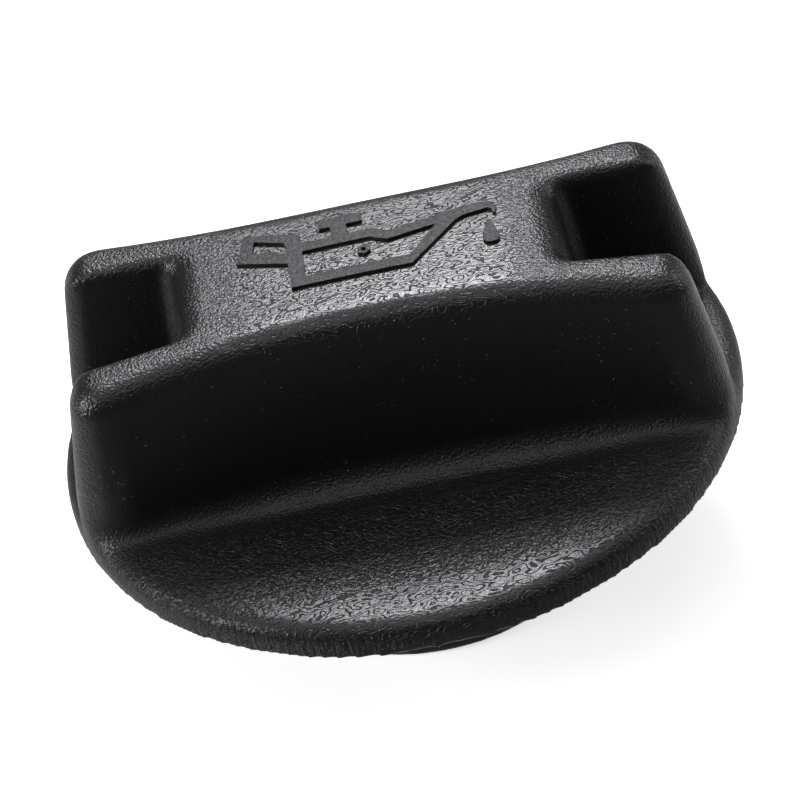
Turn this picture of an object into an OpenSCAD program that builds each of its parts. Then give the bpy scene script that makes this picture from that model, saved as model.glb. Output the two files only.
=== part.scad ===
// Engine oil filler cap with a forked, waisted turning grip, millimetres.
// The origin is at the middle of the stem's lower end, with +Z up through the grip
// and +X along the grip. The cap lies on its stem end; its flange sits above a
// rubber ring, and two lugs on the stem, in line with the grip, lock into the neck.

/* [Flange] */
// Outside diameter of the round flange
flange_d = 76; // [72:0.5:82]
// Height of the straight outer wall of the flange
flange_wall_h = 1.9; // [1.4:0.1:2.4]
// Radius that rounds the flange's upper outer edge
flange_edge_r = 1.9; // [1.2:0.1:2.4]
// Thickness of the flange at the bottom of the finger scoop
flange_t = 3; // [2.6:0.1:3.2]
// Radius round the axis out to which the scoop's floor is flat
scoop_flat_r = 26; // [24:0.5:28]
// Sweep radius of the scoop where it rises to the flange's edge
scoop_sweep_r = 60; // [50:2:90]

/* [Grip] */
// Height of the grip over the flange's lower edge, at its middle
grip_h = 24.05; // [21:0.05:28]
// Length of the grip at its top
grip_l = 66; // [62:0.5:67]
// Lean of the grip's end walls from upright, in degrees
grip_end_draft = 9.8; // [4:0.2:10]
// Width of the grip's top across its waist
waist_top_w = 22.9; // [21.5:0.1:24.3]
// Width of the grip's top across its ends
end_top_w = 28.2; // [27:0.1:29.2]
// Width of the grip's foot across its waist
waist_foot_w = 24.4; // [23.6:0.1:26]
// Width of the grip's foot across its ends
end_foot_w = 31.4; // [29.4:0.1:33]
// How late the sides swing out towards the ends, where 2 is an even bow
waist_bow = 2.6; // [1.8:0.1:3.6]
// Fall of the crowned top from its middle to its ends
crown_drop = 1.6; // [0.8:0.2:2.6]
// Radius that rounds the long edges and ends of the top
top_edge_r = 2.8; // [1.8:0.1:3.2]
// Radius of the grip's four upright corners at the top
corner_top_r = 4.4; // [3.4:0.1:5]
// Radius of the grip's four upright corners at the foot
corner_foot_r = 5.8; // [4.5:0.1:6.5]
// Radius of the blend between the grip's long sides and the flange
foot_blend_r = 3; // [2:0.25:3.5]
// How far the feet of the arms stay inside the flange's outer wall
foot_margin = 0.1; // [0.1:0.1:1.5]

/* [Fork slots] */
// Distance between the inner ends of the two slots at the top
slot_gap_l = 42; // [38:0.2:44]
// Width of each slot at its inner end
slot_in_w = 14.3; // [12.8:0.1:15.3]
// Width of each slot where it opens between the tips of the arms
slot_out_w = 16.6; // [15.2:0.1:17.6]
// Radius that rounds the upper edges of the slot's sides
slot_edge_r = 1.3; // [0.8:0.1:1.8]
// Radius that rounds the upper edge of the slot's inner end
slot_end_r = 2.3; // [1.3:0.1:3]
// Radius of the two inner corners of each slot
slot_corner_r = 1.6; // [1:0.1:2.4]
// Radius that rounds the slot side of each arm's tip
arm_tip_r = 1.9; // [1.4:0.1:2.4]
// Lean of the slot's side walls from upright, in degrees
slot_draft = 1.2; // [0.5:0.1:2]
// Lean of the slot's inner end from upright, in degrees
slot_end_draft = 5.5; // [1:0.5:8]
// Depth of the slots below the floor of the scoop
slot_sink = 0.6; // [0.3:0.1:1]

/* [Stem and lugs] */
// Outside diameter of the stem
stem_d = 39; // [36:0.5:41]
// Length of the stem below the flange's lower edge
stem_l = 17.5; // [12:0.5:20]
// Wall thickness of the hollow stem
stem_wall = 2.8; // [2:0.1:3.5]
// How far each lug stands out from the stem
lug_reach = 3; // [2:0.25:3.5]
// Width of each lug round the stem
lug_w = 14.4; // [10:0.5:18]
// Thickness of each lug
lug_t = 3.4; // [2.5:0.1:4]
// Height of the lugs above the stem's lower end
lug_lift = 1.5; // [0.5:0.25:3]
// Rise of the sloping lead-in on each lug
lug_lead = 1.4; // [0.8:0.1:1.8]
// Wall thickness of the grip over its hollow inside
grip_wall = 2.7; // [2:0.1:3.4]
// Sloping edges along the top of the grip's hollow inside
hollow_bevel = 1.5; // [0.5:0.1:2.5]

/* [Seal ring] */
// Thickness of the rubber ring
seal_t = 3.6; // [2.5:0.1:4.5]
// Width of the rubber ring between its inner and outer edges
seal_w = 7.5; // [6:0.25:9]
// Depth of the seat in the flange's underside
seal_seat = 0.6; // [0.3:0.1:0.9]
// Clearance between the ring and the stem and seat walls
seal_gap = 0.15; // [0.1:0.05:0.3]
// Radius of the ring's lower edges
seal_edge_r = 0.8; // [0.4:0.1:1.1]

/* [Hidden] */
// Points on a quarter turn of each rounded edge
arc_n = 6;
// Points along each long side of the grip
side_n = 24;
// Last angle of an edge rounding, just short of level
last_a = 80;
// How far cutting shapes run past what they cut
over = 1;
flange_r = flange_d / 2;
flange_z = stem_l;
floor_z = flange_z + flange_t;
crest_z = flange_z + flange_wall_h + flange_edge_r;
top_z = flange_z + grip_h;
foot_l = grip_l + 2 * (grip_h - flange_t) * tan(grip_end_draft);
foot_reach_r = flange_r - foot_margin;
stem_r = stem_d / 2;
bore_r = stem_r - stem_wall;
seal_in_r = stem_r + seal_gap;
seal_out_r = seal_in_r + seal_w;
seat_z = flange_z + seal_seat;
// Slots end below the scoop's floor, inside the flange
slot_foot_z = floor_z - slot_sink;

// ---- Plain helpers for the lofted grip ----

// Height of the crowned top at a place along the grip
function crown(x) = top_z - crown_drop * pow(x / (grip_l / 2), 2);

// How far a rounding of radius r has drawn in at depth t below the top
function draw_in(t, r) = t < r ? r - sqrt(r * r - pow(r - max(t, 0), 2)) : 0;

// Half length of the grip: s is 0 at the top and 1 at the foot
function half_l(s) = (grip_l + (foot_l - grip_l) * s) / 2;

// Corner radius of the grip at s
function corner_r(s) = corner_top_r + (corner_foot_r - corner_top_r) * s;

// Half width of the grip at place x and level s, bowed from its waist to its corners
function half_w(x, s) =
    let (waist = (waist_top_w + (waist_foot_w - waist_top_w) * s) / 2)
    let (ends = (end_top_w + (end_foot_w - end_top_w) * s) / 2)
    waist + (ends - waist) * pow(abs(x) / (half_l(s) - corner_r(s)), waist_bow);

// A point brought back inside the circle that the arms' feet keep to
function kept_in(p) =
    let (x = sqrt(max(1, pow(foot_reach_r, 2) - pow(p[1], 2))))
    [max(-x, min(x, p[0])), p[1]];

// Back half of the grip's outline at level s, from +X to -X, drawn in by o all
// round and spread by b at its long sides
function back_half(s, o, b) =
    let (r = corner_r(s))
    let (cx = half_l(s) - r)
    let (cy = half_w(cx, s) - r)
    let (q = r - o)
    [for (p = concat(
        [for (i = [0:arc_n]) [cx + q * cos(90 * i / arc_n), cy + (q + b) * sin(90 * i / arc_n)]],
        [for (i = [1:side_n - 1]) let (x = cx * (1 - 2 * i / side_n)) [x, half_w(x, s) - o + b]],
        [for (i = [0:arc_n]) [-cx - q * sin(90 * i / arc_n), cy + (q + b) * cos(90 * i / arc_n)]]
    )) kept_in(p)];

// A half outline closed by its own mirror image
function closed(half) =
    concat(half, [for (i = [len(half) - 1:-1:0]) [half[i][0], -half[i][1]]]);

// Rings of the grip from the top down: [s, inset, depth under the crown] ...
function top_rings() = [
    for (i = [0:arc_n])
        let (a = 90 * (1 - i / arc_n))
        let (t = top_edge_r * (1 - sin(a)))
        [t / (top_z - floor_z), top_edge_r * (1 - cos(a)), t]
];

// One ring of the grip whose height follows the crown, at depth t
function crown_ring(s, o, t) = [for (p = closed(back_half(s, o, 0))) [p[0], p[1], crown(p[0]) - t]];

// One level ring of the grip at height z, its long sides spread by b
function level_ring(z, b) =
    let (s = (top_z - z) / (top_z - floor_z))
    [for (p = closed(back_half(s, 0, b))) [p[0], p[1], z]];

// Skins a stack of equal rings, with both end faces laid in strips
module loft(rings) {
    n = len(rings[0]);
    m = len(rings);
    pts = [for (r = rings) each r];
    walls = [
        for (k = [0:m - 2], i = [0:n - 1])
            let (a = k * n + i)
            let (b = k * n + (i + 1) % n)
            each [[a, b, a + n], [b, b + n, a + n]]
    ];
    // Each end is a strip between the back half and its mirror image
    top_end = [
        for (i = [0:n / 2 - 2])
            each [[i, n - 1 - i, i + 1], [i + 1, n - 1 - i, n - 2 - i]]
    ];
    low = (m - 1) * n;
    low_end = [for (f = top_end) [low + f[0], low + f[2], low + f[1]]];
    polyhedron(pts, concat(walls, top_end, low_end), convexity = 8);
}

// Outer form of the grip: crowned, waisted, leaning out and blended to the flange
module grip_form() {
    blend_top = floor_z + foot_blend_r;
    wall_top = top_z - crown_drop - top_edge_r - 0.5;
    loft(concat(
        [for (r = top_rings()) crown_ring(r[0], r[1], r[2])],
        [for (i = [0:3]) level_ring(wall_top + (blend_top - wall_top) * i / 3, 0)],
        [for (i = [1:arc_n])
            let (a = last_a * i / arc_n)
            level_ring(floor_z + foot_blend_r * (1 - sin(a)), foot_blend_r * (1 - cos(a)))],
        [level_ring(floor_z - over, foot_blend_r * (1 - cos(last_a)))]
    ));
}

// Back half of a slot's outline at depth t: inner end, side wall, flared open end
function slot_half(t) =
    let (d = top_z - slot_foot_z)
    let (s = max(t, 0) / d)
    let (o = t < 0 ? slot_edge_r * (1 - cos(last_a)) - t / tan(90 - last_a) : draw_in(t, slot_edge_r))
    let (lean = max(t, 0) * tan(slot_draft))
    let (end = half_l(s) - draw_in(max(t, 0.04), top_edge_r))
    let (tip = max(arm_tip_r - o, 0.3))
    let (o_end = t < 0 ? slot_end_r * (1 - cos(last_a)) - t / tan(90 - last_a) : draw_in(t, slot_end_r))
    let (x_in = slot_gap_l / 2 + max(t, 0) * tan(slot_end_draft) - o_end)
    let (c = slot_corner_r)
    let (x_tip = end - tip)
    let (widen = (slot_out_w - slot_in_w) / (grip_l - slot_gap_l))
    let (w = function(x) slot_in_w / 2 + (min(x, x_tip) - slot_gap_l / 2) * widen - lean + o)
    let (past = over / 10)
    let (y_out = w(x_tip) + tip * (1 - cos(last_a)) + (tip * (1 - sin(last_a)) + past) * tan(last_a))
    concat(
        [[flange_r + over, y_out], [end + past, y_out]],
        [for (i = [5:-1:1]) let (a = last_a * i / 5) [x_tip + tip * sin(a), w(x_tip) + tip * (1 - cos(a))]],
        [for (i = [6:-1:1]) let (x = x_in + c + (x_tip - x_in - c) * i / 6) [x, w(x)]],
        [for (i = [4:-1:0])
            let (a = 90 * i / 4)
            [x_in + c * (1 - cos(a)), w(x_in + c) - c * (1 - sin(a))]]
    );

// One slot, open upward and at its outer end
module slot_form() {
    d = top_z - slot_foot_z;
    above = function(t) [for (p = closed(slot_half(t))) [p[0], p[1], top_z + over]];
    under = function(t) [for (p = closed(slot_half(t))) [p[0], p[1], crown(p[0]) - t]];
    level = function(z) [for (p = closed(slot_half(top_z - z))) [p[0], p[1], z]];
    wall_top = top_z - crown_drop - slot_end_r - 1;
    loft(concat(
        [above(-0.05)],
        [for (i = [0:arc_n]) let (a = last_a * (1 - i / arc_n)) under(slot_edge_r * (1 - sin(a)))],
        [for (i = [1:3]) under(slot_edge_r + (slot_end_r - slot_edge_r) * i / 3)],
        [for (i = [0:2]) level(wall_top + (slot_foot_z - wall_top) * i / 2)]
    ));
}

// Flange section: straight wall, rounded edge, scoop swept up to a low crest
module flange_section() {
    difference() {
        union() {
            translate([0, flange_z]) square([flange_r - flange_edge_r, crest_z - flange_z]);
            translate([0, flange_z]) square([flange_r, flange_wall_h]);
            translate([flange_r - flange_edge_r, flange_z + flange_wall_h]) circle(flange_edge_r, $fn = 64);
        }
        translate([-over, floor_z]) square([scoop_flat_r + over, crest_z]);
        translate([scoop_flat_r, floor_z + scoop_sweep_r]) circle(scoop_sweep_r, $fn = 180);
        // seat for the rubber ring
        translate([-over, flange_z - over]) square([seal_out_r + seal_gap + over, over + seal_seat]);
    }
}

// One lug: a short sector of a ring with a sloping lead-in at one end
module lug() {
    half_a = asin(lug_w / 2 / (stem_r + lug_reach));
    difference() {
        rotate([0, 0, -90 - half_a])
            rotate_extrude(angle = 2 * half_a, $fn = 96)
                translate([stem_r - stem_wall / 2, lug_lift])
                    square([lug_reach + stem_wall / 2, lug_t]);
        translate([-lug_w / 2, -stem_r - lug_reach - 1, lug_lift + lug_t - lug_lead])
            rotate([0, -atan(lug_lead / (lug_w * 0.45)), 0])
                translate([-lug_w, 0, 0])
                    cube([lug_w * 2, lug_reach + 1, lug_w]);
    }
}

// Hollow inside of the grip, inside the reach of the stem's bore
module grip_hollow() {
    z1 = top_z - crown_drop - grip_wall;
    w0 = waist_foot_w / 2 - grip_wall;
    w1 = waist_top_w / 2 - grip_wall;
    intersection() {
        rotate([90, 0, 90])
            translate([0, 0, -bore_r])
                linear_extrude(2 * bore_r)
                    polygon([[-w0, flange_z - over], [w0, flange_z - over], [w1, z1 - hollow_bevel], [w1 - hollow_bevel, z1], [hollow_bevel - w1, z1], [-w1, z1 - hollow_bevel]]);
        translate([0, 0, -1]) cylinder(h = top_z, r = bore_r, $fn = 120);
    }
}

// ---- Pieces ----

// Flange, grip, stem and lugs: one moulding of filled nylon
module cap_body() {
    color("#1b1b1d")
        difference() {
            union() {
                rotate_extrude($fn = 180) flange_section();
                cylinder(h = seat_z + 0.5, r = stem_r, $fn = 120);
                rotate([0, 0, 90]) lug();
                rotate([0, 0, -90]) lug();
                difference() {
                    grip_form();
                    slot_form();
                    mirror([1, 0, 0]) slot_form();
                }
            }
            translate([0, 0, -1]) cylinder(h = flange_z + 1, r = bore_r, $fn = 120);
            grip_hollow();
        }
}

// Flat rubber ring under the flange
module seal_ring() {
    color("#101012")
        translate([0, 0, seat_z - seal_t])
            rotate_extrude($fn = 120)
                difference() {
                    translate([seal_in_r, 0]) square([seal_w, seal_t]);
                    difference() {
                        translate([seal_out_r - seal_edge_r, -1]) square([seal_edge_r + 1, seal_edge_r + 1]);
                        translate([seal_out_r - seal_edge_r, seal_edge_r]) circle(seal_edge_r, $fn = 48);
                    }
                    difference() {
                        translate([seal_in_r - 1, -1]) square([seal_edge_r + 1, seal_edge_r + 1]);
                        translate([seal_in_r + seal_edge_r, seal_edge_r]) circle(seal_edge_r, $fn = 48);
                    }
                }
}

cap_body();
seal_ring();
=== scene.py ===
import math

import bmesh
import bpy
from mathutils import Matrix, Vector


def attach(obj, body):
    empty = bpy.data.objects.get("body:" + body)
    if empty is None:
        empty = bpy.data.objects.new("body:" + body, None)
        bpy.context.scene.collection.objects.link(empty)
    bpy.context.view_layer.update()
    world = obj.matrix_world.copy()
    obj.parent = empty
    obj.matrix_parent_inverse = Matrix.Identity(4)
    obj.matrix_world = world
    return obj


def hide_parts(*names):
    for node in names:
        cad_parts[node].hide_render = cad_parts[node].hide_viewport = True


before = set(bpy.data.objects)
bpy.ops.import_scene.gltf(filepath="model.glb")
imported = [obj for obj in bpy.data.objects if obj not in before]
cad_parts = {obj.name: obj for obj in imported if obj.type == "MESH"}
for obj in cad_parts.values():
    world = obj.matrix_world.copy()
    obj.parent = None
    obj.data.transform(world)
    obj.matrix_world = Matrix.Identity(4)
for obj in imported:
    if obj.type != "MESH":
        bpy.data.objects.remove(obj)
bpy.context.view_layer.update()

bpy.ops.object.select_all(action="DESELECT")

# ---------------------------------------------------------------------------
# The view.  The cap was photographed from a little over its front edge with a
# long lens, and the picture is tipped about 13 degrees on its side.
MM = 0.001  # sizes are given in millimetres, places of the light in metres
view_lift = math.radians(38.1)
view_turn = math.radians(2.92)
view_tip = math.radians(13.39)
aim = Vector((0, 0, 17.5))  # middle of the flange's lower face
distance, off_side, off_rise = 444.71, -0.48, 2.57
away = Vector((
    math.sin(view_turn) * math.cos(view_lift),
    -math.cos(view_turn) * math.cos(view_lift),
    math.sin(view_lift),
))
level = Vector((math.cos(view_turn), math.sin(view_turn), 0))
upward = away.cross(level)
side = math.cos(view_tip) * level - math.sin(view_tip) * upward
rise = math.sin(view_tip) * level + math.cos(view_tip) * upward
eye = (distance * away + off_side * side + off_rise * rise + aim) * MM
lens = bpy.data.cameras.new("view")
lens.sensor_width = 36
lens.lens = 180
lens.clip_start = 0.01
camera = bpy.data.objects.new("view", lens)
bpy.context.collection.objects.link(camera)
camera.matrix_world = Matrix((
    (side.x, rise.x, away.x, eye.x),
    (side.y, rise.y, away.y, eye.y),
    (side.z, rise.z, away.z, eye.z),
    (0, 0, 0, 1),
))
bpy.context.scene.camera = camera

# ---------------------------------------------------------------------------
# Flange and stem.  The lower half of the one nylon moulding: a round flange with
# a finger scoop in its upper face, and the hollow stem that goes into the neck.
FLANGE_Z = 17.5  # lower face
FLANGE_R = 38
FLANGE_H = 3.8
FLANGE_TOP = FLANGE_Z + FLANGE_H
EDGE_R = 1.9
SCOOP_Z = 20.5  # lowest part of the scoop
# width and drop of each ring of the scoop, from the crest inwards
SCOOP_RINGS = (
    (0.9, 0.01), (1.2, 0.01), (1.3, 0), (1.5, -0.06), (1.7, -0.13),
    (2.0, -0.19), (2.2, -0.2), (2.4, -0.16), (2.4, -0.1),
)
STEM_R = 19.5
STEM_CHAMFER = 0.5
SEAT_IN = 10.7  # from the flange's edge to the rubber ring's seat
SEAT_DEEP = 0.6
BORE_IN = 2.0  # from the stem's chamfer to its bore
BORE_CHAMFER = 0.3
UPRIGHT = 0.01  # an inset so small that the step stands upright


def pick(mesh_object, kind, wanted):
    """Selects only the faces, edges or points for which wanted(centre) holds."""
    mesh = bmesh.from_edit_mesh(mesh_object.data)
    for group in (mesh.verts, mesh.edges, mesh.faces):
        for item in group:
            item.select = False
    mesh.select_mode = {{"point": "VERT", "edge": "EDGE", "face": "FACE"}[kind]}
    if kind == "point":
        chosen = [v for v in mesh.verts if wanted(v.co / MM)]
    elif kind == "edge":
        chosen = [e for e in mesh.edges if wanted(e.verts[0].co / MM, e.verts[1].co / MM)]
    else:
        chosen = [f for f in mesh.faces if wanted(f.calc_center_median() / MM)]
    for item in chosen:
        item.select = True
    mesh.select_flush_mode()
    bmesh.update_edit_mesh(mesh_object.data)


def step_in(width, lift):
    """Insets the chosen face by width and moves the new face up by lift."""
    bpy.ops.mesh.inset(thickness=width * MM, depth=0, use_even_offset=True)
    bpy.ops.transform.translate(value=(0, 0, lift * MM))


def merge(onto, operation, other):
    """Adds another solid to a mesh, or cuts with it, and removes that solid."""
    bpy.ops.object.select_all(action="DESELECT")
    onto.select_set(True)
    bpy.context.view_layer.objects.active = onto
    joint = onto.modifiers.new("merge", "BOOLEAN")
    joint.operation = operation
    joint.solver = "MANIFOLD"
    joint.object = other
    bpy.ops.object.modifier_apply(modifier="merge")
    bpy.data.objects.remove(other)


bpy.ops.mesh.primitive_cylinder_add(
    vertices=192, radius=FLANGE_R * MM, depth=FLANGE_H * MM,
    location=(0, 0, (FLANGE_Z + FLANGE_H / 2) * MM),
)
moulding = bpy.context.object
moulding.name = "cap_moulding"
bpy.ops.object.transform_apply(location=True, rotation=True, scale=True)
bpy.ops.object.mode_set(mode="EDIT")
# the upper outer edge is rounded over the straight wall
pick(moulding, "edge", lambda a, b: a.z > FLANGE_TOP - 0.1 and b.z > FLANGE_TOP - 0.1)
bpy.ops.mesh.bevel(offset=EDGE_R * MM, segments=8, affect="EDGES", clamp_overlap=False)
# scoop, swept down in rings from the crest to its flat floor
pick(moulding, "face", lambda c: c.z > FLANGE_TOP - 0.1 and c.xy.length < 1)
for width, lift in SCOOP_RINGS:
    step_in(width, lift)
# seat for the rubber ring, then the stem, drawn down from the underside
pick(moulding, "face", lambda c: c.z < FLANGE_Z + 0.01 and c.xy.length < 1)
step_in(SEAT_IN, 0)
step_in(UPRIGHT, SEAT_DEEP)
step_in(FLANGE_R - SEAT_IN - UPRIGHT - STEM_R, 0)
step_in(UPRIGHT, -SEAT_DEEP - FLANGE_Z + STEM_CHAMFER)
step_in(STEM_CHAMFER, -STEM_CHAMFER)
# bore of the stem, up to the flange
step_in(BORE_IN, 0)
step_in(BORE_CHAMFER, BORE_CHAMFER)
step_in(UPRIGHT, FLANGE_Z - BORE_CHAMFER)
bpy.ops.object.mode_set(mode="OBJECT")

# two lugs in line with the grip, each with a sloping lead-in
LUG_AT = (20.2, 0, 3.2)
LUG_SIZE = (4.6, 14.4, 3.4)
LUG_R = 22.5
# the lead-in slopes down in two steps: from and to which y, and how far
LEAD_IN = ((-8, -6, -1.4), (-6, -4, -0.7))
for turn in (0, math.pi):
    bpy.ops.mesh.primitive_cube_add(
        size=1, location=[v * MM for v in LUG_AT], scale=[v * MM for v in LUG_SIZE],
    )
    lug = bpy.context.object
    bpy.ops.object.transform_apply(location=True, rotation=True, scale=True)
    bpy.ops.object.mode_set(mode="EDIT")
    bpy.ops.mesh.select_all(action="SELECT")
    for cut in (-5.0, -2.5, 0, 2.5, 5.0):
        bpy.ops.mesh.bisect(plane_co=(0, cut * MM, 0), plane_no=(0, 1, 0))
        bpy.ops.mesh.select_all(action="SELECT")
    # the outer face follows the stem's roundness
    for cut in (-7.2, -5.0, -2.5, 2.5, 5.0, 7.2):
        pick(lug, "point", lambda c: c.x > 22 and abs(c.y - cut) < 0.1)
        bpy.ops.transform.translate(value=((math.sqrt(LUG_R ** 2 - cut ** 2) - LUG_R) * MM, 0, 0))
    for low_y, high_y, drop in LEAD_IN:
        pick(lug, "point", lambda c: c.z > 4.5 and low_y < c.y < high_y)
        bpy.ops.transform.translate(value=(0, 0, drop * MM))
    bpy.ops.object.mode_set(mode="OBJECT")
    lug.rotation_euler = (0, 0, turn)
    bpy.ops.object.transform_apply(location=True, rotation=True, scale=True)
    merge(moulding, "UNION", lug)

# ---------------------------------------------------------------------------
# Grip.  The upper half of the moulding: a crowned, waisted bar that two fingers
# hold, open at both ends as a fork. It leans outward to its foot on the flange.
TOP_Z = 41.55
GRIP_START = 19.4  # sunk in the flange
GRIP_END = 33.0
CROWN_DROP = 1.6  # from the middle of the top to its ends
LEAN = 3.64  # how much further out the ends are at their foot
HALF_W = 14.6
WAIST_HALF = 11.45  # half width in the middle, at the top
FOOT_MORE = 0.75  # by which the foot is wider than the top
END_MORE = 2.65  # by which the ends are wider than the waist
WAIST_END = 28.4
WAIST_POWER = 2.6
CORNER_R = 4.4
CORNER_GROW = 1.4
TOP_EDGE_R = 2.8
FOOT_R = 3  # blend of the grip's foot into the flange
FLANGE_EDGE = 37.9  # just inside the flange's wall
SLOT_END = 21.0
# heights at which the sheet is drawn up; the last two follow the crown
GRIP_LEVELS = (19.4, 20.45, 20.6, 20.9, 21.4, 22, 22.7, 23.5, 25.5, 28, 31, 34, 36.5, 38, 41.55)
CROWN_FROM = 37.5
UNDER_TOP = 3.65


def crown(x):
    """Height of the crowned top."""
    return TOP_Z - CROWN_DROP * (x / GRIP_END) ** 2


def half_width(x, low):
    """Half width of the bar, with low at 0 for its top and 1 for its foot."""
    waisted = min(1.2, abs(x) / WAIST_END) ** WAIST_POWER
    return WAIST_HALF + FOOT_MORE * low + (END_MORE + 0.2 * low) * waisted


def facing_of(mesh_object):
    """Which way each point of a flat outline faces."""
    flat = bmesh.from_edit_mesh(mesh_object.data)
    facing = {}
    for point in flat.verts:
        turn = Vector((0, 0, 0))
        for edge in point.link_edges:
            if len(edge.link_faces) == 1:
                run = edge.verts[1].co - edge.verts[0].co
                out = Vector((run.y, -run.x, 0)).normalized()
                middle = (edge.verts[0].co + edge.verts[1].co) / 2
                if out.dot(middle - edge.link_faces[0].calc_center_median()) < 0:
                    out = -out
                turn += out
        if turn.length > 0:
            facing[(round(point.co.x / MM, 2), round(point.co.y / MM, 2))] = turn.normalized()
    return facing


def cut_lines(stations, normal):
    """Cuts a flat mesh along lines square to normal, at the stations given."""
    for at in stations:
        bpy.ops.mesh.select_all(action="SELECT")
        bpy.ops.mesh.bisect(plane_co=Vector(normal) * at * MM, plane_no=normal)


def draw_up(levels):
    """Extrudes a flat mesh upwards through all levels and closes it."""
    bpy.ops.mesh.select_all(action="SELECT")
    for low_z, high_z in zip(levels, levels[1:]):
        bpy.ops.mesh.extrude_region_move(TRANSFORM_OT_translate={"value": (0, 0, (high_z - low_z) * MM)})
    bpy.ops.mesh.select_all(action="SELECT")
    bpy.ops.mesh.normals_make_consistent(inside=False)


bpy.ops.object.select_all(action="DESELECT")
bpy.ops.mesh.primitive_plane_add(size=1, location=(0, 0, GRIP_START * MM))
grip = bpy.context.object
grip.name = "grip_bar"
grip.scale = (2 * GRIP_END * MM, 2 * HALF_W * MM, 1)
bpy.ops.object.transform_apply(location=True, rotation=True, scale=True)
bpy.ops.object.mode_set(mode="EDIT")
pick(grip, "point", lambda c: True)
bpy.ops.mesh.bevel(offset=CORNER_R * MM, segments=12, affect="VERTICES", clamp_overlap=False)
stations = (1.25, 3.75, 6.25, 8.75, 11.25, 13.75, 16.25, 18.75, 21.25, 23.75, 26)
cut_lines([s * v for v in stations for s in (-1, 1)], (1, 0, 0))
cut_lines((-5, -2, 2, 5), (0, 1, 0))
facing = facing_of(grip)
draw_up(GRIP_LEVELS)
# each level is spread to its lean, its waist and its blend into the flange
shape = bmesh.from_edit_mesh(grip.data)
for point in shape.verts:
    x, y, z = point.co / MM
    out = facing.get((round(x, 2), round(y, 2)), Vector((0, 0, 0)))
    if z > CROWN_FROM:
        z = crown(x) - (0 if z > 41 else UNDER_TOP)
    low = (TOP_Z - z) / (TOP_Z - SCOOP_Z)
    if z > CROWN_FROM:
        low = min(low, 0.12)
    grow = max(0.0, abs(x) - SLOT_END) / (GRIP_END - SLOT_END)
    # corners widen like cones towards the foot
    from_x, from_y = abs(x) - (GRIP_END - CORNER_R), abs(y) - (HALF_W - CORNER_R)
    if from_x > 0.01 and from_y > 0.01:
        corner = CORNER_R + CORNER_GROW * low
        turn = math.atan2(from_y, from_x)
        x = math.copysign(GRIP_END - corner + corner * math.cos(turn), x)
        y = math.copysign(HALF_W - corner + corner * math.sin(turn), y)
    if abs(y) > 5.5:
        y = math.copysign(half_width(x, low) - (HALF_W - abs(y)), y)
    x += math.copysign(LEAN * low * grow, x)
    if z < 23.5:
        flare = FOOT_R - math.sqrt(max(0.0, FOOT_R ** 2 - (FOOT_R - max(0.05, z - SCOOP_Z)) ** 2))
        y += out.y * flare * abs(out.y)
        x += out.x * flare * 0.8 * min(1.0, 1.4 * abs(out.y))
    # the ends run straight down into the flange's rim
    reach = math.hypot(x, y)
    if reach > FLANGE_EDGE:
        x, y = x * FLANGE_EDGE / reach, y * FLANGE_EDGE / reach
    point.co = Vector((x, y, z)) * MM
bmesh.update_edit_mesh(grip.data)
# rounded upper edge
bpy.ops.mesh.select_all(action="DESELECT")
shape = bmesh.from_edit_mesh(grip.data)
shape.normal_update()
shape.select_mode = {"EDGE"}
for edge in shape.edges:
    if len(edge.link_faces) == 2:
        up = [f.normal.z > 0.8 for f in edge.link_faces]
        edge.select = up[0] != up[1] and min(v.co.z for v in edge.verts) > CROWN_FROM * MM
bmesh.update_edit_mesh(grip.data)
bpy.ops.mesh.bevel(offset=TOP_EDGE_R * MM, segments=8, affect="EDGES", clamp_overlap=False)
bpy.ops.object.mode_set(mode="OBJECT")

# the two fork slots, cut with a tool whose rim and mouth flare to round the edges
SLOT_HALF = 6.5  # of the sheet that the tool is drawn from
SLOT_CORNER_R = 1.6
SLOT_WALL = 7.15  # half width of the slot at its inner end, at the top
SLOT_WIDEN = 0.0943  # per mm towards the mouth
SLOT_DRAFT = 0.021  # per mm of depth
END_SLOPE = 0.096  # per mm of depth
FLOOR_R = 1.2
RIM_R = 1.3
MOUTH_R = 1.9
END_R = 2.3
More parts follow.
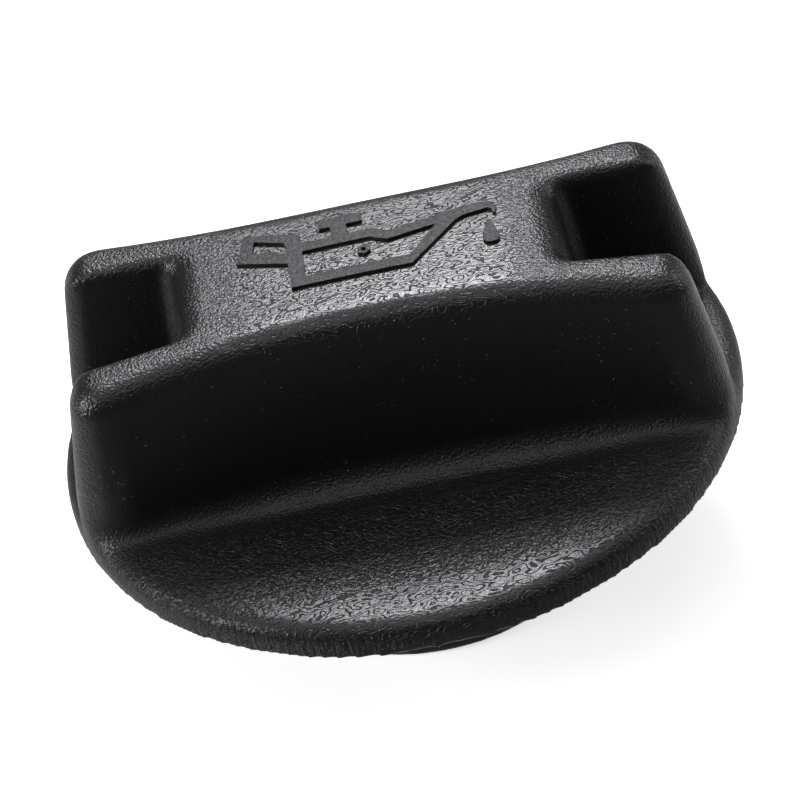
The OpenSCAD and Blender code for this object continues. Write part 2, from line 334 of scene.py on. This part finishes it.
# cuts and levels crowd together where the mouth, the floor and the rim are rounded
MOUTH_CUTS = (24, 26, 28, 30, 31.1, 31.5, 31.9, 32.2, 32.5, 32.75, 32.9, 33.0, 36)
SLOT_LEVELS = (
    20.5, 20.6, 20.8, 21.2, 21.7, 24, 28, 32, 36, 38, 39.2, 39.5, 39.8,
    40.1, 40.4, 40.65, 40.9, 41.1, 41.25, 41.4, 41.55, 43.6,
)
for hand in (-1, 1):
    bpy.ops.object.select_all(action="DESELECT")
    bpy.ops.mesh.primitive_plane_add(size=1, location=(30.5 * MM, 0, SCOOP_Z * MM))
    slot = bpy.context.object
    slot.scale = (19 * MM, 2 * SLOT_HALF * MM, 1)
    bpy.ops.object.transform_apply(location=True, rotation=True, scale=True)
    bpy.ops.object.mode_set(mode="EDIT")
    pick(slot, "point", lambda c: c.x < 22)
    bpy.ops.mesh.bevel(offset=SLOT_CORNER_R * MM, segments=5, affect="VERTICES", clamp_overlap=False)
    cut_lines(MOUTH_CUTS, (1, 0, 0))
    cut_lines((0,), (0, 1, 0))
    facing = facing_of(slot)
    draw_up(SLOT_LEVELS)
    shape = bmesh.from_edit_mesh(slot.data)
    for point in shape.verts:
        x, y, z = point.co / MM
        out = facing.get((round(x, 2), round(y, 2)), Vector((0, 0, 0)))
        if x > 39:
            out = Vector((0, out.y, 0))
        if z > 38:
            z += crown(min(x, GRIP_END)) - TOP_Z
        top = crown(min(x, GRIP_END))
        low = (TOP_Z - z) / (TOP_Z - SCOOP_Z)
        # side walls: arms of even thickness, with a little draft
        wall = SLOT_WALL + SLOT_WIDEN * (min(x, GRIP_END) - SLOT_END) - (TOP_Z - z) * SLOT_DRAFT
        y = math.copysign(wall - (SLOT_HALF - abs(y)), y) if abs(y) > 0.1 else 0
        # mouth, flared round the tips of the arms
        into = min(1.0, max(0.0, (x - (GRIP_END - MOUTH_R)) / MOUTH_R))
        if abs(y) > 3:
            y += math.copysign(MOUTH_R - MOUTH_R * math.sqrt(max(0.0, 1 - into ** 2)), y)
        x += LEAN * low * max(0.0, min(x, GRIP_END) - SLOT_END) / (GRIP_END - SLOT_END)
        if x < 26:
            x += (TOP_Z - z) * END_SLOPE * min(1.0, (26 - x) / 3.5)
        # rim
        for axis, radius in ((0, END_R), (1, RIM_R)):
            up = min(radius, max(0.0, z - (top - radius)))
            spread = radius - math.sqrt(max(0.0, radius ** 2 - up ** 2))
            x, y = (x + out.x * spread, y) if axis == 0 else (x, y + out.y * spread)
        # floor corners
        if z < 21.8:
            up = FLOOR_R - min(FLOOR_R, z - SCOOP_Z)
            narrow = FLOOR_R - math.sqrt(max(0.0, FLOOR_R ** 2 - up ** 2))
            x, y = x - out.x * narrow, y - out.y * narrow
        point.co = Vector((hand * x, y, z)) * MM
    bmesh.update_edit_mesh(slot.data)
    bpy.ops.mesh.select_all(action="SELECT")
    bpy.ops.mesh.normals_make_consistent(inside=False)
    bpy.ops.object.mode_set(mode="OBJECT")
    merge(grip, "DIFFERENCE", slot)

# hollow inside of the grip, reached through the stem's bore
HOLLOW_R = 16.4
HOLLOW_HALF = 9.5
HOLLOW_DRAFT = 0.073  # per mm of height
bpy.ops.object.select_all(action="DESELECT")
bpy.ops.mesh.primitive_cylinder_add(vertices=128, radius=HOLLOW_R * MM, depth=22 * MM, location=(0, 0, 27 * MM))
hollow = bpy.context.object
bpy.ops.object.transform_apply(location=True, rotation=True, scale=True)
bpy.ops.object.mode_set(mode="EDIT")
for hand in (-1, 1):
    bpy.ops.mesh.select_all(action="SELECT")
    bpy.ops.mesh.bisect(
        plane_co=(0, hand * HOLLOW_HALF * MM, FLANGE_Z * MM), plane_no=(0, hand, HOLLOW_DRAFT),
        clear_outer=True, use_fill=True,
    )
bpy.ops.object.mode_set(mode="OBJECT")
merge(moulding, "UNION", grip)
merge(moulding, "DIFFERENCE", hollow)
# the tool's small radii: one even skin, eased over every edge
SKIN_STEP = 0.5
skin = moulding.modifiers.new("even_skin", "REMESH")
skin.mode = "VOXEL"
skin.voxel_size = SKIN_STEP * MM
bpy.ops.object.modifier_apply(modifier="even_skin")
ease = moulding.modifiers.new("ease", "SMOOTH")
ease.factor = 0.5
ease.iterations = 4
bpy.ops.object.modifier_apply(modifier="ease")
# the feet of the four corners run out softly into the flange's crest
bpy.ops.object.mode_set(mode="EDIT")
pick(moulding, "point", lambda c: abs(c.x) > 21 and 11 < abs(c.y) < 21 and 19.6 < c.z < 27)
moulding.vertex_groups.new(name="corner_feet")
bpy.ops.object.vertex_group_assign()
bpy.ops.object.mode_set(mode="OBJECT")
feet = moulding.modifiers.new("soft_feet", "SMOOTH")
feet.vertex_group = "corner_feet"
feet.factor = 0.5
feet.iterations = 24
bpy.ops.object.modifier_apply(modifier="soft_feet")
bpy.ops.object.shade_smooth()
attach(moulding, "root")
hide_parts("cap_body")

# ---------------------------------------------------------------------------
# Material of the moulding.  Glass-filled nylon, moulded against an etched tool:
# black, half matte, with a leathery wrinkle on the broad faces, a finer sand
# grain near the ends and edges, and painted glints: light specks in its colour.
NYLON_IOR = 1.53
# the last of these colours is that of the painted glints
DARK, LESS_DARK, GLINT_PAINT = "#0a0a0c", "#101012", "#9a9aa0"
# cells of each pattern per metre
CREASE_CELLS = 1300.0  # 0.77 mm
FOLD_CELLS = 2000.0  # 0.5 mm
SAND_CELLS = 3300.0  # 0.3 mm
MARK_CELLS = 2400.0  # 0.42 mm
GLINT_CELLS = 4400.0  # 0.23 mm
CREASE_DEEP = 0.00006
SAND_DEEP = 0.00014


def linear(code):
    """Linear colour of an sRGB hex code."""
    parts = [int(code[i:i + 2], 16) / 255 for i in (1, 3, 5)]
    return [p / 12.92 if p <= 0.04045 else ((p + 0.055) / 1.055) ** 2.4 for p in parts] + [1.0]


def node(tree, kind, links=(), **settings):
    """Adds a node, sets its values by name and links its inputs."""
    made = tree.nodes.new(kind)
    for key, value in settings.items():
        if hasattr(made, key):
            setattr(made, key, value)
        else:
            made.inputs[key.replace("_", " ")].default_value = value
    for socket, source in links:
        tree.links.new(source, made.inputs[socket])
    return made


nylon = bpy.data.materials.new("etched_nylon")
nylon.use_nodes = True
tree = nylon.node_tree
tree.nodes.clear()
place = node(tree, "ShaderNodeTexCoord").outputs["Object"]
axes = node(tree, "ShaderNodeSeparateXYZ", [("Vector", place)])
x_of, y_of, z_of = axes.outputs["X"], axes.outputs["Y"], axes.outputs["Z"]


def ramp(tree, source, start, end, low=0.0, high=1.0):
    """Eases from low to high while the source goes from start to end."""
    made = node(tree, "ShaderNodeMapRange", [("Value", source)], interpolation_type="SMOOTHSTEP")
    for key, value in (("From Min", start), ("From Max", end), ("To Min", low), ("To Max", high)):
        made.inputs[key].default_value = value
    return made.outputs[0]


def sums(tree, operation, first, second, third=0.0):
    """Arithmetic on links or plain numbers."""
    made = node(tree, "ShaderNodeMath", operation=operation)
    for socket, value in zip(made.inputs, (first, second, third)):
        if isinstance(value, float):
            socket.default_value = value
        else:
            tree.links.new(value, socket)
    return made.outputs[0]


def noise(tree, vector, cells, detail, roughness=0.5):
    """Cloudy pattern from 0 to 1, with so many cells per metre."""
    made = node(tree, "ShaderNodeTexNoise", [("Vector", vector)], Scale=cells, Detail=detail, Roughness=roughness)
    return made.outputs["Fac"]


# wrinkle: narrow creases about 0.45 mm apart and drawn out along the grip, which
# wander between smooth lands
drawn_out = node(tree, "ShaderNodeMapping", [("Vector", place)])
drawn_out.inputs["Rotation"].default_value = (0, 0, math.radians(-22))
drawn_out.inputs["Scale"].default_value = (0.55, 1, 1)
wander = noise(tree, drawn_out.outputs[0], CREASE_CELLS, 0.0)
across = sums(tree, "ADD", y_of, sums(tree, "MULTIPLY", z_of, 0.7))
turns = sums(tree, "MULTIPLY_ADD", across, 850.0, sums(tree, "MULTIPLY", wander, 4.1))
off_line = sums(tree, "PINGPONG", turns, 0.5)
land = ramp(tree, off_line, 0.02, 0.17)
# sand grain
sand = noise(tree, place, SAND_CELLS, 1.0)
# the wrinkle is deep in the middle of the top and in the scoop, the sand elsewhere
far_x = sums(tree, "ABSOLUTE", x_of, 0.0)
far_y = sums(tree, "ABSOLUTE", y_of, 0.0)
on_top = ramp(tree, z_of, 0.0392, 0.0408)
top_middle = sums(tree, "MULTIPLY", on_top, ramp(tree, far_x, 0.019, 0.013))
in_scoop = sums(tree, "MULTIPLY", ramp(tree, z_of, 0.025, 0.023), ramp(tree, far_y, 0.016, 0.021))
# the stem below the flange has none of it
in_scoop = sums(tree, "MULTIPLY", in_scoop, ramp(tree, z_of, 0.0168, 0.0174))
middle = sums(tree, "ADD", top_middle, sums(tree, "MULTIPLY", in_scoop, ramp(tree, far_x, 0.03, 0.02)))
# the front of the top is worn smoothest
smooth = sums(tree, "MULTIPLY", ramp(tree, y_of, 0.003, -0.001), top_middle)
crease_h = sums(tree, "MULTIPLY", land, sums(tree, "MULTIPLY_ADD", in_scoop, 1.2, middle))
# the slope of the scoop has shallow leathery folds
folds = noise(tree, place, FOLD_CELLS, 1.0, 0.6)
on_slope = sums(tree, "MULTIPLY", in_scoop, ramp(tree, far_y, 0.034, 0.028))
crease_h = sums(tree, "MULTIPLY_ADD", sums(tree, "MULTIPLY", folds, on_slope), 4.0, crease_h)
crease_bump = node(tree, "ShaderNodeBump", [("Height", crease_h)], Strength=1.0, Distance=CREASE_DEEP)
# long steep walls slide off the tool and are all but smooth
normal_of = node(tree, "ShaderNodeSeparateXYZ", [("Vector", node(tree, "ShaderNodeNewGeometry").outputs["Normal"])])
upright = ramp(tree, sums(tree, "ABSOLUTE", normal_of.outputs["Z"], 0.0), 0.35, 0.15)
long_side = ramp(tree, sums(tree, "ABSOLUTE", normal_of.outputs["Y"], 0.0), 0.8, 0.95)
steep = sums(tree, "MULTIPLY", upright, long_side)
sand_on = sums(tree, "SUBTRACT", sums(tree, "MULTIPLY_ADD", middle, -0.75, 1.0), sums(tree, "MULTIPLY", steep, 0.8))
sand_h = sums(tree, "MULTIPLY", sand, sand_on)
# upright draw marks on the flange's wall, where the tool slides off
drawn = node(tree, "ShaderNodeMapping", [("Vector", place)])
drawn.inputs["Scale"].default_value = (1, 1, 0.12)
marks = noise(tree, drawn.outputs[0], MARK_CELLS, 1.0)
off_axis = sums(tree, "SQRT", sums(tree, "MULTIPLY_ADD", x_of, x_of, sums(tree, "MULTIPLY", y_of, y_of)), 0.0)
on_wall = sums(tree, "MULTIPLY", ramp(tree, off_axis, 0.0366, 0.0376), ramp(tree, z_of, 0.0212, 0.02))
sand_h = sums(tree, "ADD", sand_h, sums(tree, "MULTIPLY", sums(tree, "MULTIPLY", marks, on_wall), 1.2))
sand_bump = node(
    tree, "ShaderNodeBump", [("Height", sand_h), ("Normal", crease_bump.outputs[0])],
    Strength=1.0, Distance=SAND_DEEP,
)
# painted glints: light specks put into the base colour where the etched grain would sparkle, gathered in places
painted_glint = noise(tree, place, GLINT_CELLS, 1.0, 0.8)
glint_patches = noise(tree, place, 160.0, 2.0)
painted_glint_on = sums(tree, "MULTIPLY", ramp(tree, painted_glint, 0.73, 0.8), ramp(tree, glint_patches, 0.38, 0.6))
shade = node(tree, "ShaderNodeMix", [("Factor", noise(tree, place, 45.0, 3.0))], data_type="RGBA")
shade.inputs["A"].default_value = linear(DARK)
shade.inputs["B"].default_value = linear(LESS_DARK)
# the painted glints lay a light grey over the plastic's own tone
glint_paint_mix = node(tree, "ShaderNodeMix", [("Factor", painted_glint_on), ("A", shade.outputs["Result"])], data_type="RGBA")
glint_paint_mix.inputs["B"].default_value = linear(GLINT_PAINT)
# creases are dull, smooth lands shine
flange_ends = sums(tree, "MULTIPLY", ramp(tree, far_x, 0.013, 0.027), ramp(tree, z_of, 0.025, 0.0225))
gloss = sums(tree, "ADD", ramp(tree, sand, 0.3, 0.7, 0.32, 0.42), sums(tree, "MULTIPLY", smooth, -0.06))
gloss = sums(tree, "MULTIPLY_ADD", flange_ends, 0.1, gloss)
in_crease = sums(tree, "MULTIPLY", sums(tree, "SUBTRACT", 1.0, land), middle)
dull = sums(tree, "MULTIPLY_ADD", in_crease, 0.3, gloss)
plastic = node(
    tree, "ShaderNodeBsdfPrincipled",
    [("Base Color", glint_paint_mix.outputs["Result"]), ("Roughness", dull), ("Normal", sand_bump.outputs[0])],
    IOR=NYLON_IOR,
)
node(tree, "ShaderNodeOutputMaterial", [("Surface", plastic.outputs[0])])
moulding.data.materials.clear()
moulding.data.materials.append(nylon)

# ---------------------------------------------------------------------------
# Raised sign.  The common oil-can sign stands 0.36 mm proud of the top, cut as
# smooth flat-faced lines in the same tool as the rest of the moulding.
SIGN_H = 0.36
SIGN_SUNK = 0.3
SIGN_EDGE = 0.11
SIGN_FROM = 43  # the sheets are laid down on the crown from this height
plain = bpy.data.materials.new("smooth_nylon")
plain.use_nodes = True
tree = plain.node_tree
tree.nodes.clear()
place = node(tree, "ShaderNodeTexCoord").outputs["Object"]
# the flat faces of the tool leave only a faint cloudiness
cloud = noise(tree, place, 2600.0, 1.0)
tint = node(tree, "ShaderNodeMix", [("Factor", cloud)], data_type="RGBA")
tint.inputs["A"].default_value = linear("#0d0d10")
tint.inputs["B"].default_value = linear("#141418")
faint = node(tree, "ShaderNodeBump", [("Height", cloud)], Strength=1.0, Distance=0.00012)
matte = ramp(tree, cloud, 0.3, 0.7, 0.53, 0.63)
flat_face = node(
    tree, "ShaderNodeBsdfPrincipled",
    [("Base Color", tint.outputs["Result"]), ("Roughness", matte), ("Normal", faint.outputs[0])],
    IOR=NYLON_IOR,
)
node(tree, "ShaderNodeOutputMaterial", [("Surface", flat_face.outputs[0])])


def traced(name, outlines):
    """A flat sheet inside the first outline and outside the others."""
    bpy.ops.object.select_all(action="DESELECT")
    bpy.ops.mesh.primitive_plane_add(size=MM, location=(0, 0, SIGN_FROM * MM))
    sheet = bpy.context.object
    sheet.name = name
    bpy.ops.object.transform_apply(location=True, rotation=True, scale=True)
    bpy.ops.object.mode_set(mode="EDIT")
    bpy.ops.mesh.select_all(action="SELECT")
    bpy.ops.mesh.delete(type="VERT")
    drawn = bmesh.from_edit_mesh(sheet.data)
    for outline in outlines:
        points = [drawn.verts.new(Vector((x, y, SIGN_FROM)) * MM) for x, y in outline]
        for a, b in zip(points, points[1:] + points[:1]):
            drawn.edges.new((a, b))
    bmesh.update_edit_mesh(sheet.data)
    bpy.ops.mesh.select_all(action="SELECT")
    bpy.ops.mesh.fill(use_beauty=True)
    # cut across every millimetre, so that the sheet can follow the crown
    for cut in range(-15, 16):
        bpy.ops.mesh.select_all(action="SELECT")
        bpy.ops.mesh.bisect(plane_co=(cut * MM, 0, 0), plane_no=(1, 0, 0))
    bpy.ops.object.mode_set(mode="OBJECT")
    return sheet


can = traced("raised_sign", [
    # handle, lid and spout round the can
    [(-13.85, 2.5), (-12.7, 7.2), (-6.6, 5.35), (-6.6, 3.65), (-3.25, 3.65), (-3.25, 5.45),
     (-4.5, 5.45), (-4.5, 7.1), (0.3, 7.1), (0.3, 5.45), (-1.45, 5.45), (-1.45, 3.65),
     (1.3, 3.65), (3.0, 2.65), (8.4, 3.8), (11.6, 4.65), (14.0, 4.75), (14.6, 4.3),
     (14.9, 3.4), (14.7, 2.4), (14.4, 2.6), (14.35, 3.2), (14.0, 3.5), (11.2, 2.9),
     (10.4, 2.4), (5.0, -3.95), (-8.2, -3.95), (-8.25, 0.5)],
    # opening of the handle
    [(-11.7, 5.75), (-8.4, 4.35), (-8.2, 2.4), (-12.0, 3.7)],
    # inside of the can
    [(-6.55, 2.15), (0.9, 2.2), (2.75, 1.15), (8.1, 2.25), (5.0, -2.35), (-6.55, -2.35)],
])
drop = traced("oil_drop", [[
    (13.45, 0.75), (13.65, 1.12), (13.9, 1.2), (14.1, 1.0), (14.25, 0.4),
    (14.5, -0.6), (14.72, -1.6), (14.68, -2.2), (14.35, -2.65), (13.75, -2.75),
    (13.2, -2.6), (12.88, -2.1), (12.88, -1.5), (13.1, -0.6), (13.3, 0.2),
]])
# the dot is the torn ring that the tool's gate left, given by the radii of its
# outer and inner edge at sixteen even turns
DOT_X, DOT_Y, DOT_TALL = 0.05, 0.25, 1.15
torn_edges = (
    (0.72, 0.8, 0.66, 0.75, 0.7, 0.62, 0.78, 0.7, 0.66, 0.76, 0.72, 0.6, 0.74, 0.7, 0.64, 0.78),
    (0.3, 0.22, 0.34, 0.28, 0.2, 0.3, 0.36, 0.26, 0.3, 0.2, 0.32, 0.26, 0.24, 0.34, 0.28, 0.22),
)
dot = traced("centre_dot", [
    [
        (DOT_X + r * math.cos(a * math.pi / 8), DOT_Y + DOT_TALL * r * math.sin(a * math.pi / 8))
        for a, r in enumerate(edge)
    ]
    for edge in torn_edges
])
for part in (can, drop, dot):
    bpy.ops.object.select_all(action="DESELECT")
    part.select_set(True)
    bpy.context.view_layer.objects.active = part
    laid = part.modifiers.new("laid_on_crown", "SHRINKWRAP")
    laid.target = moulding
    laid.wrap_method = "PROJECT"
    laid.use_project_z = True
    laid.use_positive_direction = False
    laid.use_negative_direction = True
    laid.offset = 0
    bpy.ops.object.modifier_apply(modifier="laid_on_crown")
    bpy.ops.object.mode_set(mode="EDIT")
    bpy.ops.mesh.select_all(action="SELECT")
    bpy.ops.transform.translate(value=(0, 0, -SIGN_SUNK * MM))
    bpy.ops.mesh.extrude_region_move(TRANSFORM_OT_translate={"value": (0, 0, (SIGN_SUNK + SIGN_H) * MM)})
    bpy.ops.mesh.select_all(action="SELECT")
    bpy.ops.mesh.normals_make_consistent(inside=False)
    bpy.ops.object.mode_set(mode="OBJECT")
    edge_round = part.modifiers.new("edge_round", "BEVEL")
    edge_round.width = SIGN_EDGE * MM
    edge_round.segments = 3
    edge_round.limit_method = "ANGLE"
    edge_round.angle_limit = math.radians(50)
    bpy.ops.object.modifier_apply(modifier="edge_round")
    bpy.ops.object.shade_smooth_by_angle(angle=math.radians(40))
    part.data.materials.append(plain)
    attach(part, "root")

# ---------------------------------------------------------------------------
# Seal ring.  A flat ring of oil-proof rubber, moulded, stretched over the stem
# and seated in a shallow recess under the flange.
SEAL_R = 27.15
SEAL_H = 3.6
SEAL_Z = 16.3  # middle of its height
SEAL_WIDE = 7.5
SEAL_EDGE = 0.7
bpy.ops.object.select_all(action="DESELECT")
bpy.ops.mesh.primitive_cylinder_add(
    vertices=160, radius=SEAL_R * MM, depth=SEAL_H * MM, location=(0, 0, SEAL_Z * MM),
)
seal = bpy.context.object
seal.name = "rubber_seal"
bpy.ops.object.transform_apply(location=True, rotation=True, scale=True)
bpy.ops.object.mode_set(mode="EDIT")
pick(seal, "face", lambda c: c.xy.length < 1)
bpy.ops.mesh.inset(thickness=SEAL_WIDE * MM, depth=0)
bpy.ops.mesh.bridge_edge_loops()
pick(seal, "edge", lambda a, b: abs(a.z - b.z) < 0.01 and abs(a.xy.length - b.xy.length) < 0.01)
bpy.ops.mesh.bevel(offset=SEAL_EDGE * MM, segments=4, affect="EDGES")
bpy.ops.mesh.select_all(action="SELECT")
bpy.ops.mesh.normals_make_consistent(inside=False)
bpy.ops.object.mode_set(mode="OBJECT")
bpy.ops.object.shade_smooth_by_angle(angle=math.radians(35))
rubber = bpy.data.materials.new("moulded_rubber")
rubber.use_nodes = True
tree = rubber.node_tree
tree.nodes.clear()
place = node(tree, "ShaderNodeTexCoord").outputs["Object"]
# a faint bloom, in clouds of about 1.7 mm
bloom = noise(tree, place, 600.0, 3.0)
haze = node(tree, "ShaderNodeMix", [("Factor", bloom)], data_type="RGBA")
haze.inputs["A"].default_value = linear("#0d0d0e")
haze.inputs["B"].default_value = linear("#161617")
dull = node(tree, "ShaderNodeMapRange", [("Value", bloom)])
dull.inputs["To Min"].default_value = 0.5
dull.inputs["To Max"].default_value = 0.75
soft_bump = node(tree, "ShaderNodeBump", [("Height", bloom)], Strength=0.3, Distance=0.00003)
skin_of = node(
    tree, "ShaderNodeBsdfPrincipled",
    [("Base Color", haze.outputs["Result"]), ("Roughness", dull.outputs[0]), ("Normal", soft_bump.outputs[0])],
    IOR=1.5,
)
node(tree, "ShaderNodeOutputMaterial", [("Surface", skin_of.outputs[0])])
seal.data.materials.append(rubber)
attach(seal, "root")
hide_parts("seal_ring")

# ---------------------------------------------------------------------------
# Studio.  A plain pale sheet under the cap and soft lights: a broad one above
# and behind, which the top mirrors, and weaker ones at both sides.
SHEET_GLOW = 0.7
bpy.ops.object.select_all(action="DESELECT")
bpy.ops.mesh.primitive_plane_add(size=3, location=(0, 0, 0))
floor = bpy.context.object
floor.name = "pale_sheet"
paper = bpy.data.materials.new("pale_paper")
paper.use_nodes = True
sheet_of = paper.node_tree.nodes["Principled BSDF"]
sheet_of.inputs["Base Color"].default_value = linear("#f2f2f2")
sheet_of.inputs["Roughness"].default_value = 0.9
# the sheet is lit from below like a light table, so that its shadow stays faint
sheet_of.inputs["Emission Color"].default_value = linear("#ffffff")
sheet_of.inputs["Emission Strength"].default_value = SHEET_GLOW
floor.data.materials.append(paper)
# the cap doesn't mirror the sheet itself: the world below the horizon stands for it
floor.visible_glossy = False


def soft_light(name, power, size, at, towards=(0, 0, 0.03), colour=(1, 1, 1)):
    """A soft rectangular light that faces a point."""
    lamp = bpy.data.lights.new(name, "AREA")
    lamp.energy = power
    lamp.color = colour
    lamp.shape = "RECTANGLE"
    lamp.size, lamp.size_y = size
    stand = bpy.data.objects.new(name, lamp)
    bpy.context.collection.objects.link(stand)
    stand.location = at
    stand.rotation_euler = (Vector(towards) - Vector(at)).to_track_quat("-Z", "Y").to_euler()


soft_light("back_box", 8.0, (0.34, 0.33), (0.03, 0.675, 0.755), colour=(0.965, 0.965, 1))
soft_light("top_box", 4.2, (1.4, 1.1), (0, 0.1, 1.0), colour=(0.94, 0.94, 1))
soft_light("front_box", 0.4, (0.5, 0.4), (0, -0.45, 0.9))
soft_light("left_box", 2.4, (0.18, 0.18), (-0.56, -0.1, 0.27), (-0.02, -0.02, 0.02))
soft_light("right_box", 1.0, (0.3, 0.3), (0.55, 0.15, 0.28), (0.1, 0.02, 0))
world = bpy.data.worlds.new("studio")
bpy.context.scene.world = world
world.use_nodes = True
tree = world.node_tree
tree.nodes.clear()
# below the horizon the sheet's bounce: weak in front, brighter at both sides and behind
LEAST_BOUNCE = 0.08
way = node(tree, "ShaderNodeSeparateXYZ", [("Vector", node(tree, "ShaderNodeTexCoord").outputs["Generated"])])
off_middle = sums(tree, "ABSOLUTE", sums(tree, "SUBTRACT", way.outputs["X"], 0.12), 0.0)
aside = ramp(tree, off_middle, 0.45, 1.0, 0.17, 1.1)
aside = sums(tree, "MULTIPLY", aside, ramp(tree, way.outputs["Z"], -0.25, -0.5))
behind = ramp(tree, way.outputs["Y"], 0.0, 0.5, 0.0, 0.9)
behind = sums(tree, "MULTIPLY", behind, ramp(tree, way.outputs["Z"], 0.0, -0.25))
bounce = sums(tree, "MAXIMUM", sums(tree, "MAXIMUM", aside, behind), LEAST_BOUNCE)
sky = node(tree, "ShaderNodeBackground", [("Strength", bounce)], Color=(1, 1, 1, 1))
node(tree, "ShaderNodeOutputWorld", [("Surface", sky.outputs[0])])
bpy.context.scene.view_settings.view_transform = "Standard"
